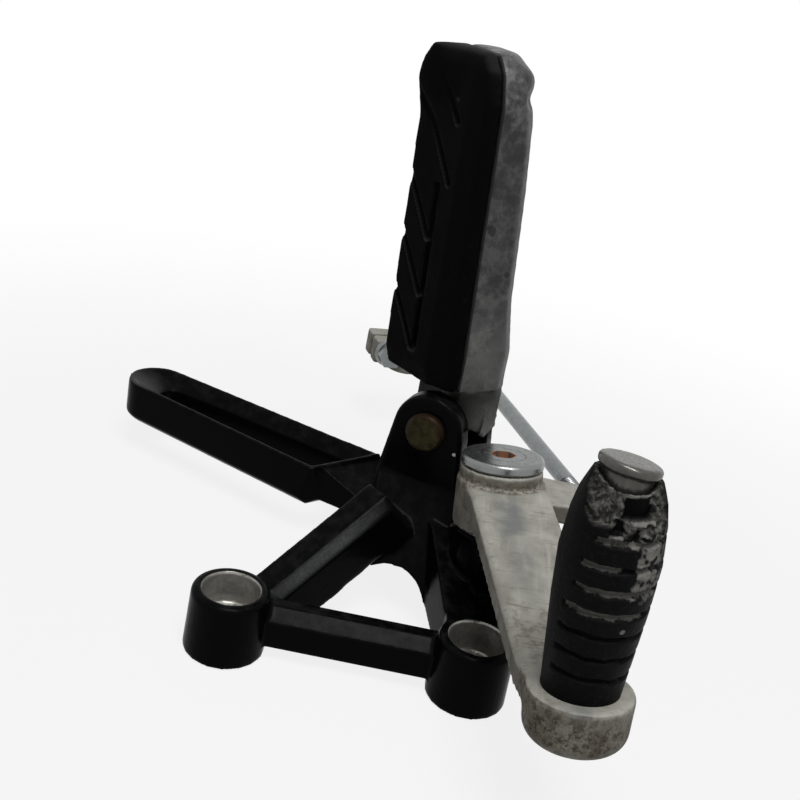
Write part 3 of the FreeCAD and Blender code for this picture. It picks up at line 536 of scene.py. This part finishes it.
# Its skirt: how far it hangs below the foot line at shares of the length, and what moves with it
SKIRT_DROPS = (0.0, 6.5, 6.8, 5.6, 4.6, 3.5, 0.0)
SKIRT_SHARES = (0.03, 0.22, 0.4, 0.55, 0.7, 0.85, 1.05)
SKIRT_SIDES = (-8.0, 11.0)
SKIRT_BELOW = -1.0
SKIRT_REACH = 7.0
SKIRT_FLOOR = 0.5
# Neck of the heel guard, in the clevis pin's frame: the guard's near edge, the hub's flank and the fall
NECK_EDGE = ((-39.8, 6.1), (-24.7, 33.8))
NECK_MARGIN = 0.4
NECK_FLANK = -13.2
NECK_EAR = -17.0
NECK_BETWEEN = (8.4, 29.2)
NECK_RUN = (-4.0, 40.0)
NECK_TOP = 27.6
NECK_FALL = 9.0
# Heel guard: where it starts, half widths at both ends, start of its round end, rim and inner bevel
GUARD = Vector((-25.0, 71.0, 0.0))
GUARD_TURN = math.radians(151.8)
GUARD_HEADING = Vector((math.cos(GUARD_TURN), math.sin(GUARD_TURN), 0.0))
GUARD_LEFT = Vector((-math.sin(GUARD_TURN), math.cos(GUARD_TURN), 0.0))
GUARD_HALVES = (15.0, 11.75)
GUARD_BEND = 83.75
GUARD_RIDGE = 1.6
GUARD_BEVEL = 5.0
GUARD_BEVEL_START = 50.0
GUARD_END = 8.0
# The part of the guard whose rim is softened
RIM_START = 4.0
RIM_MARGIN = -1.0
RIM_TOP = (24.0, 26.0)


def guard_place(place):
    """Distance along the heel guard, and how far inside its outline a point lies."""
    offset = place - GUARD
    along = offset.dot(GUARD_HEADING)
    half = between(GUARD_HALVES, (0.0, GUARD_BEND), along)
    inset = half - math.hypot(max(along - GUARD_BEND, 0.0), offset.dot(GUARD_LEFT) + half)
    return along, inset


def guard_rim(place):
    """A rule for the heel guard's upper rim."""
    along, inset = guard_place(place)
    inside = along > RIM_START and inset > RIM_MARGIN
    return step(*RIM_TOP, place.z) if inside else 0.0


def skirt_height(x, y, z):
    """New height of a point on the left arm, whose skirt hangs deep."""
    offset = Vector((x, y, 0.0)) - ARM_START
    along = offset.dot(ARM_HEADING) / ARM_LENGTH
    across = offset.dot(ARM_RIGHT)
    height = z - (ARM_FEET[0] + (ARM_FEET[1] - ARM_FEET[0]) * along)
    on_arm = SKIRT_SHARES[0] < along < SKIRT_SHARES[-1] and SKIRT_SIDES[0] < across < SKIRT_SIDES[1]
    if on_arm and SKIRT_BELOW < height < SKIRT_REACH:
        drop = between(SKIRT_DROPS, SKIRT_SHARES, along) * (1.0 - max(height, 0.0) / SKIRT_REACH)
        z = max(z - drop, min(SKIRT_FLOOR, z))
    return z


def neck_height(x, y, z):
    """New height of a point on the heel guard's neck, which falls away to the hub."""
    out = Vector((x - PIN.x, y - PIN.y, 0.0))
    across = out.x * math.cos(PIN_TURN) + out.y * math.sin(PIN_TURN)
    along = out.y * math.cos(PIN_TURN) - out.x * math.sin(PIN_TURN)
    (across_0, along_0), (across_1, along_1) = NECK_EDGE
    edge = across_0 + (along - along_0) * (across_1 - across_0) / (along_1 - along_0)
    beside_hub = across < NECK_FLANK and NECK_BETWEEN[0] < along < NECK_BETWEEN[1]
    free = across < NECK_EAR or beside_hub
    if free and across > edge + NECK_MARGIN and NECK_RUN[0] < along < NECK_RUN[1]:
        share = (across - edge) / (NECK_FLANK - edge)
        z = min(z, NECK_TOP - NECK_FALL * share)
    return z


def bracket_flow(place):
    """The left arm's deep skirt, the heel guard's neck, and the wide bevel at the end of its slot."""
    x, y, z = place
    z = neck_height(x, y, skirt_height(x, y, z))
    along, inset = guard_place(Vector((x, y, 0.0)))
    bevel = min(max((inset - GUARD_RIDGE) / GUARD_BEVEL, 0.0), 1.0)
    back = GUARD_END * step(GUARD_BEVEL_START, GUARD_BEND, along) * bevel
    return Vector((x, y, z)) - GUARD_HEADING * back


# Footpeg, in its own frame: top of the lug, near side and tip of the tread
PEG_LUG = (12.0, 20.0)
TREAD_SIDE = (-9.0, -6.0)
TREAD_TIP = (109.0, 113.0)
# Hook and notch at the back of its tip, as height, place along the peg and width
TIP_HOOK = (0.8, 113.5, 3.0)
TIP_NOTCH = (1.3, 107.8, 2.4)
TIP_BACK = (0.0, 5.0)
# Lip at the tread's far end: its height, and where it starts and ends along, out of and across the tread
LIP_HEIGHT = 3.0
LIP_ALONG = (96.0, 112.0)
LIP_OUT = (8.5, 14.0)
LIP_ACROSS = (-4.0, 10.0)


def peg_local(place):
    return PEG_PLACE.transposed() @ (place - PEG)


def above_lug(place):
    """A rule for the footpeg's base above its lug."""
    return step(*PEG_LUG, peg_local(place).z)


def tread_edge(place):
    """A rule for the tread's near side and tip, clear of its grooves."""
    local = peg_local(place)
    return max(1.0 - step(*TREAD_SIDE, local.y), step(*TREAD_TIP, local.z))


def mound(height, middle, width, at):
    return height * math.exp(-((at - middle) / width) ** 2)


def hooked_tip(obj):
    """The back of the peg's tip ends in a low hook above a notch."""
    for vertex in obj.data.vertices:
        local = peg_local(vertex.co / MM)
        back = step(*TIP_BACK, local.x)
        dip = mound(*TIP_HOOK, local.z) - mound(*TIP_NOTCH, local.z)
        vertex.co += PEG_PLACE @ Vector((dip * back * MM, 0.0, 0.0))
    return obj


def raise_lip(obj):
    """The tread's far end curls up into a low lip."""
    for vertex in obj.data.vertices:
        local = peg_local(vertex.co / MM)
        lift = step(*LIP_ALONG, local.z) * step(*LIP_OUT, -local.x) * step(*LIP_ACROSS, local.y)
        vertex.co += PEG_PLACE @ Vector((-LIP_HEIGHT * lift * MM, 0.0, 0.0))
    return obj


def new_mesh(name, points, faces):
    mesh = bpy.data.meshes.new(name)
    mesh.from_pydata([Vector(p) * MM for p in points], [], faces)
    mesh.update()
    obj = bpy.data.objects.new(name, mesh)
    bpy.context.scene.collection.objects.link(obj)
    return obj


def rough_field(x, y, z, size, offset=0.0):
    return noise.noise(Vector((x / size + offset, y / size + offset, z / size)))


# Toe rubber: a barrel with ring grooves, torn open at its top. Its sides are angles from the front.
# Heights and radii of its skin, and its bore with the thinnest wall
TOE_STATIONS = ((0.54, 9.6), (24.3, 11.3), (36.7, 11.8), (46.4, 10.9), (51.3, 9.9), (54.0, 8.9),
                (57.5, 7.5))
TOE_BORE = 7.1
TOE_WALL = 0.2
# Mesh columns and rows, and the loops down the inside as radius, share of the height and drop
TOE_AROUND = 216
TOE_ROWS = 168
TOE_INSIDE = ((TOE_BORE - 0.8, 1.0, 0.3), (TOE_BORE, 0.92, 0.0), (TOE_BORE, 0.0, 0.0))
INSIDE_MARKS = (0.6, 0.0, 0.3)
# Heights of the torn upper edge, and heights above which the outer skin is gone
RIM_SIDES = (-180.0, -95.0, -62.0, -25.0, 20.0, 75.0, 180.0)
RIM_HEIGHTS = (55.6, 57.2, 57.0, 55.4, 55.1, 55.9, 55.6)
RIM_ROUGHNESS = 0.9
TEAR_SIDES = (-180.0, -96.0, -80.0, -60.0, -30.0, 0.0, 55.0, 72.0, 90.0)
TEAR_HEIGHTS = (62.0, 60.0, 54.5, 50.0, 47.0, 46.2, 46.0, 50.0, 62.0)
TEAR_DEPTH = 1.4
# Ring grooves: lowest height, pitch, half width, what dirt adds to it, waver and depth
RING_FIRST = 8.55
RING_PITCH = 6.0
RING_HALF = 0.62
RING_DIRT_HALF = 0.2
RING_WAVER = 0.45
RING_DEPTH = 1.4
# Side at which each ring groove starts on the left, where its pale dirt ends, and where all grooves end
RING_STARTS = (-58.0, -57.0, -56.0, -54.0, -45.0, -41.0, -31.0)
RING_DIRT_ENDS = (-70.0, -70.0, -70.0, 55.0, 62.0, 8.0, 24.0)
RING_END = 245.0
# Side behind which a turn is counted on, so that every groove runs one way
RING_TURN = -100.0
# Scraped patch on the right, as its soft edges in height and side
SCRAPE_LOW = (29.0, 33.0)
SCRAPE_HIGH = (46.0, 50.0)
SCRAPE_LEFT = (14.0, 26.0)
SCRAPE_RIGHT = (58.0, 74.0)
SCRAPE_DEPTH = 0.45
# Holes torn through, as left and right side, low and high edge and depth, and the margins of their edges
HOLES = ((-7.0, 43.0, 49.6, 54.5, 3.0), (-17.0, -1.0, 46.4, 49.6, 2.2), (9.0, 24.0, 45.2, 47.7, 2.0))
HOLE_SIDE_SOFT = 2.5
HOLE_EDGE_SOFT = 0.4
# Pale speck, as side and height, its soft edge, and the length of a degree of side
SPECK = (23.0, 23.0)
SPECK_EDGE = (0.4, 0.9)
DEGREE = 0.2


def toe_skin(z):
    return between([r for _, r in TOE_STATIONS], [h for h, _ in TOE_STATIONS], z)


def ring_marks(side, z, wander):
    """Cut and dirt of the ring grooves."""
    cut = 0.0
    dirt = 0.0
    past = side if side > RING_TURN else side + 360.0
    for ring, (start, dirt_end) in enumerate(zip(RING_STARTS, RING_DIRT_ENDS)):
        middle = RING_FIRST + ring * RING_PITCH
        dirty = 1.0 - rise(dirt_end, 6.0, past)
        half = RING_HALF + RING_DIRT_HALF * dirty * step(start, start + 25.0, past)
        inside = 1.0 - step(half - 0.3, half + 0.25, abs(z - middle + RING_WAVER * wander))
        depth = inside * rise(start, 3.0, past) * (1.0 - step(RING_END - 5.0, RING_END, past))
        cut = max(cut, RING_DEPTH * depth)
        dirt = max(dirt, depth * dirty * (0.85 + 0.5 * wander))
    return cut, dirt


def hole_marks(side, z, lump):
    """Cut, dirt and share of the holes torn through."""
    cut = 0.0
    dirt = 0.0
    hole = 0.0
    swing = side + 6.0 * lump
    for left, right, low, high, deep in HOLES:
        across = rise(left, HOLE_SIDE_SOFT, swing)
        across *= 1.0 - rise(right, HOLE_SIDE_SOFT, swing)
        here = across * rise(low, HOLE_EDGE_SOFT, z + 0.5 * lump)
        here *= 1.0 - rise(high, HOLE_EDGE_SOFT, z + 0.8 * lump)
        cut = max(cut, deep * here)
        hole = max(hole, here)
        border = 1.0 - step(0.3, 1.2, min(abs(z - low), abs(z - high)))
        dirt = max(dirt, 0.9 * (border * across * (1.0 - here)))
    return cut, dirt, hole


def toe_surface(side, z):
    """Radius and the torn, dirt and hole marks at a side and a height."""
    skin = toe_skin(z)
    x = skin * math.sin(math.radians(side))
    y = skin * math.cos(math.radians(side))
    wander = rough_field(x, y, z, 3.0)
    lump = rough_field(x, y, z, 1.6, 7.0) + 0.5 * rough_field(x, y, z, 0.8, 3.0)
    cut, dirt = ring_marks(side, z, wander)
    edge = between(TEAR_HEIGHTS, TEAR_SIDES, side)
    torn = rise(edge, 0.35, z + 2.4 * wander + 1.2 * lump)
    cut = max(cut, torn * (TEAR_DEPTH + 1.7 * lump))
    swing = side + 8.0 * wander
    scrape = step(*SCRAPE_LOW, z + 3.0 * wander) * (1.0 - step(*SCRAPE_HIGH, z))
    scrape *= step(*SCRAPE_LEFT, swing) * (1.0 - step(*SCRAPE_RIGHT, swing))
    cut += SCRAPE_DEPTH * scrape * lump
    dirt = max(dirt, scrape * (0.62 + 0.7 * lump), torn * (0.18 + 1.0 * lump))
    hole_cut, hole_dirt, hole = hole_marks(side, z, lump)
    from_speck = math.hypot((side - SPECK[0]) * DEGREE, z - SPECK[1])
    cut = max(cut, hole_cut)
    dirt = max(dirt, hole_dirt, 1.0 - step(*SPECK_EDGE, from_speck))
    return max(skin - cut, TOE_BORE + TOE_WALL), torn, dirt * (1.0 - hole), hole


def torn_toe_rubber():
    tilt = Matrix.Rotation(TOE_TILT, 3, "Y")
    seat = tilt.transposed() @ PIVOT_AXIS
    points, marks = [], []
    sides = [360.0 * column / TOE_AROUND - 180.0 for column in range(TOE_AROUND)]

    def heading(side, share, drop=0.0):
        # Direction and height, from the toe drum's leaning top to the torn rim
        turn = math.radians(side - 90.0)
        x, y = math.cos(turn), math.sin(turn)
        low = -(seat.x * x + seat.y * y) * TOE_STATIONS[0][1] / seat.z
        high = between(RIM_HEIGHTS, RIM_SIDES, side)
        high -= RIM_ROUGHNESS * abs(rough_field(3.0 * x, 3.0 * y, 0.0, 1.0))
        return x, y, low + (high - low) * share - drop

    for row in range(TOE_ROWS + 1):
        for side in sides:
            x, y, z = heading(side, row / TOE_ROWS)
            radius, *mark = toe_surface(side, z)
            points.append(Vector((radius * x, radius * y, z)))
            marks.append(mark)
    for radius, share, drop in TOE_INSIDE:
        for side in sides:
            x, y, z = heading(side, share, drop)
            points.append(Vector((radius * x, radius * y, z)))
            marks.append(INSIDE_MARKS)
    faces = []
    loops = list(range(0, len(points), TOE_AROUND)) + [0]
    for low, high in zip(loops, loops[1:]):
        for column in range(TOE_AROUND):
            after = (column + 1) % TOE_AROUND
            faces.append((low + column, low + after, high + after, high + column))
    obj = new_mesh("torn_toe_rubber", [TOE + tilt @ p for p in points], faces)
    for index, name in enumerate(("torn", "dirt", "hole")):
        layer = obj.data.attributes.new(name, "FLOAT", "POINT")
        layer.data.foreach_set("value", [mark[index] for mark in marks])
    return obj


# Linkage rod: where it starts and ends, its radius, mesh columns and the length of a plain mesh row
ROD_START = 9.5
ROD_END = LINK_LENGTH - 9.5
ROD_RADIUS = 2.9
ROD_AROUND = 24
ROD_ROW = 4.0
# Its threads: depth, pitch, mesh rows to a turn, length and run-out
THREAD_DEPTH = 0.42
THREAD_PITCH = 1.0
THREAD_ROWS = 8.0
THREAD_RUN = 26.0
THREAD_FADE = 1.5


def threaded_rod():
    """The linkage rod with a cut thread at each end."""
    stations = []
    along = ROD_START
    while along < ROD_END:
        stations.append(along)
        threaded = along < ROD_START + THREAD_RUN or along > ROD_END - THREAD_RUN
        along += THREAD_PITCH / THREAD_ROWS if threaded else ROD_ROW
    stations.append(ROD_END)
    points, faces = [], []
    turn = Matrix.Rotation(LINK_TURN, 3, "Z")
    for along in stations:
        from_end = min(along - ROD_START, ROD_END - along)
        cut = THREAD_DEPTH * (1.0 - step(THREAD_RUN - THREAD_FADE, THREAD_RUN, from_end))
        for column in range(ROD_AROUND):
            angle = 2.0 * math.pi * column / ROD_AROUND
            wave = abs((along / THREAD_PITCH + column / ROD_AROUND) % 1.0 - 0.5) * 2.0
            radius = ROD_RADIUS - cut * wave
            around = Vector((along, radius * math.cos(angle), radius * math.sin(angle)))
            points.append(LINK + turn @ around)
    for low in range(0, len(points) - ROD_AROUND, ROD_AROUND):
        high = low + ROD_AROUND
        for column in range(ROD_AROUND):
            after = (column + 1) % ROD_AROUND
            faces.append((low + column, low + after, high + after, high + column))
    faces.append(tuple(range(ROD_AROUND))[::-1])
    faces.append(tuple(range(len(points) - ROD_AROUND, len(points))))
    return new_mesh("threaded_rod", points, faces)


# Where pieces flow more softly: the left arm's root, the guard's neck and rim, the footpeg's sides
BRACKET_MELTS = ((near_point(Vector((-1.5, 30.0, 15.0)), 10.0), 80),
                 (near_point(Vector((-14.0, 70.0, 22.0)), 16.0), 12),
                 (guard_rim, 14))
PEG_MELTS = ((above_lug, 40),)
TREAD_MELTS = ((tread_edge, 40),)

# The dressed pieces
paint = black_paint()
lever_metal = lever_aluminium()
plating = zinc("zinc", (0.21, 0.222, 0.222), False)
washer_plating = zinc("pivot_zinc", (0.135, 0.145, 0.14), True)

bracket = softened("bracket", "cast_bracket", 0.5, 9, 0.4, BRACKET_MELTS, bracket_flow)
finish_mesh(bracket, "bracket", "carrier", paint)
lever = softened("shift_lever", "cast_lever", 0.6, 4, 0.7)
finish_mesh(lever, "shift_lever", "lever", lever_metal)
peg = hooked_tip(softened("footpeg_base", "cast_peg", 0.6, 4, 0.7, PEG_MELTS))
finish_mesh(peg, "footpeg_base", "footpeg", peg_aluminium())
tread = raise_lip(softened("footpeg_rubber", "peg_tread", 0.55, 3, 0.6, TREAD_MELTS))
finish_mesh(tread, "footpeg_rubber", "footpeg", tread_rubber())
pin = softened("clevis_pin", "aged_clevis_pin", 0.35, 4)
finish_mesh(pin, "clevis_pin", "carrier", aged_pin())
shift_arm = softened("shift_arm", "cast_shift_arm", 0.6, 30)
finish_mesh(shift_arm, "shift_arm", "gear_arm", lever_metal)
finish_mesh(torn_toe_rubber(), "toe_rubber", "lever", toe_rubber_paint())
finish_mesh(threaded_rod(), "link_rod", "linkage", plating)

# The other pieces are the solids themselves, plated
for name, node in nodes.items():
    if not node.hide_render:
        metal = washer_plating if name in ("pivot_cap_washer", "pivot_bolt") else plating
        for index in range(len(node.material_slots)):
            node.material_slots[index].material = metal


def add_node(tree, kind, **values):
    node = tree.nodes.new("ShaderNode" + kind)
    for name, value in values.items():
        setattr(node, name, value)
    return node


def seen_rays(tree):
    """One for the rays of the camera, gloss and glass."""
    path = add_node(tree, "LightPath")
    top = path.outputs["Is Camera Ray"]
    for name in ("Is Glossy Ray", "Is Transmission Ray"):
        node = add_node(tree, "Math", operation="MAXIMUM")
        tree.links.new(top, node.inputs[0])
        tree.links.new(path.outputs[name], node.inputs[1])
        top = node.outputs[0]
    return top


def blend_into(tree, output, amount, first, second):
    """Ends a material or world with a mix of two shaders."""
    blend = add_node(tree, "MixShader")
    out = add_node(tree, output)
    tree.links.new(amount, blend.inputs[0])
    tree.links.new(first.outputs[0], blend.inputs[1])
    tree.links.new(second.outputs[0], blend.inputs[2])
    tree.links.new(blend.outputs[0], out.inputs[0])


def floor_material():
    """Pale grey that keeps the object's shadow, and turns to plain white away from the object."""
    material = bpy.data.materials.new("floor")
    material.use_nodes = True
    tree = material.node_tree
    tree.nodes.clear()
    geometry = add_node(tree, "NewGeometry")
    reach = add_node(tree, "VectorMath", operation="LENGTH")
    tree.links.new(geometry.outputs["Position"], reach.inputs[0])
    fade = add_node(tree, "MapRange", interpolation_type="SMOOTHSTEP")
    for name, number in (("From Min", 0.16), ("From Max", 0.5), ("To Min", 0.84), ("To Max", 1.0)):
        fade.inputs[name].default_value = number
    tree.links.new(reach.outputs["Value"], fade.inputs["Value"])
    white = add_node(tree, "Math", operation="MULTIPLY")
    tree.links.new(seen_rays(tree), white.inputs[0])
    tree.links.new(fade.outputs[0], white.inputs[1])
    diffuse = add_node(tree, "BsdfDiffuse")
    diffuse.inputs["Color"].default_value = (0.48, 0.48, 0.48, 1.0)
    blend_into(tree, "OutputMaterial", white.outputs[0], diffuse, add_node(tree, "Emission"))
    return material


def background(tree, colour, strength):
    node = add_node(tree, "Background")
    node.inputs["Color"].default_value = (*colour, 1.0)
    node.inputs["Strength"].default_value = strength
    return node


def studio_world():
    """Soft fill light, with plain white where it is seen or mirrored."""
    world = bpy.data.worlds.new("studio")
    world.use_nodes = True
    tree = world.node_tree
    tree.nodes.clear()
    fill = background(tree, (0.95, 0.97, 1.0), 0.25)
    seen = background(tree, (1.0, 1.0, 1.0), 1.0)
    blend_into(tree, "OutputWorld", seen_rays(tree), fill, seen)
    return world


# Places of the floor and lamps are in metres
FLOOR_SIZE = 8.0
FLOOR_DROP = 0.0005
LAMP_TARGET = Vector((0.0, 0.03, 0.04))


def softbox(name, place, size, watts):
    light = bpy.data.lights.new(name, "AREA")
    light.shape = "RECTANGLE"
    light.size = size
    light.size_y = size
    light.energy = watts
    obj = bpy.data.objects.new(name, light)
    obj.location = place
    obj.rotation_euler = (LAMP_TARGET - Vector(place)).to_track_quat("-Z", "Y").to_euler()
    bpy.context.scene.collection.objects.link(obj)


bpy.ops.mesh.primitive_plane_add(size=FLOOR_SIZE, location=(0.0, 0.0, -FLOOR_DROP))
floor = bpy.context.object
floor.name = "floor"
floor.data.materials.append(floor_material())
bpy.context.scene.world = studio_world()
softbox("overhead", (0.05, -0.28, 0.92), 0.35, 6.0)
softbox("front", (0.30, -0.55, 0.78), 0.12, 1.2)

# Camera at the photograph's view
ahead = Vector((0.0, math.cos(PITCH), -math.sin(PITCH)))
level = Vector((1.0, 0.0, 0.0))
above = Vector((0.0, math.sin(PITCH), math.cos(PITCH)))
right = level * math.cos(ROLL) + above * math.sin(ROLL)
upward = above * math.cos(ROLL) - level * math.sin(ROLL)
lens = bpy.data.cameras.new("camera")
lens.sensor_width = 36.0
lens.lens = FOCAL / PHOTO * lens.sensor_width
lens.clip_start = 0.01
camera = bpy.data.objects.new("camera", lens)
camera.matrix_world = Matrix((right, upward, -ahead)).transposed().to_4x4()
camera.location = CAMERA * MM
bpy.context.scene.collection.objects.link(camera)
bpy.context.scene.camera = camera
bpy.context.scene.view_settings.view_transform = "Standard"
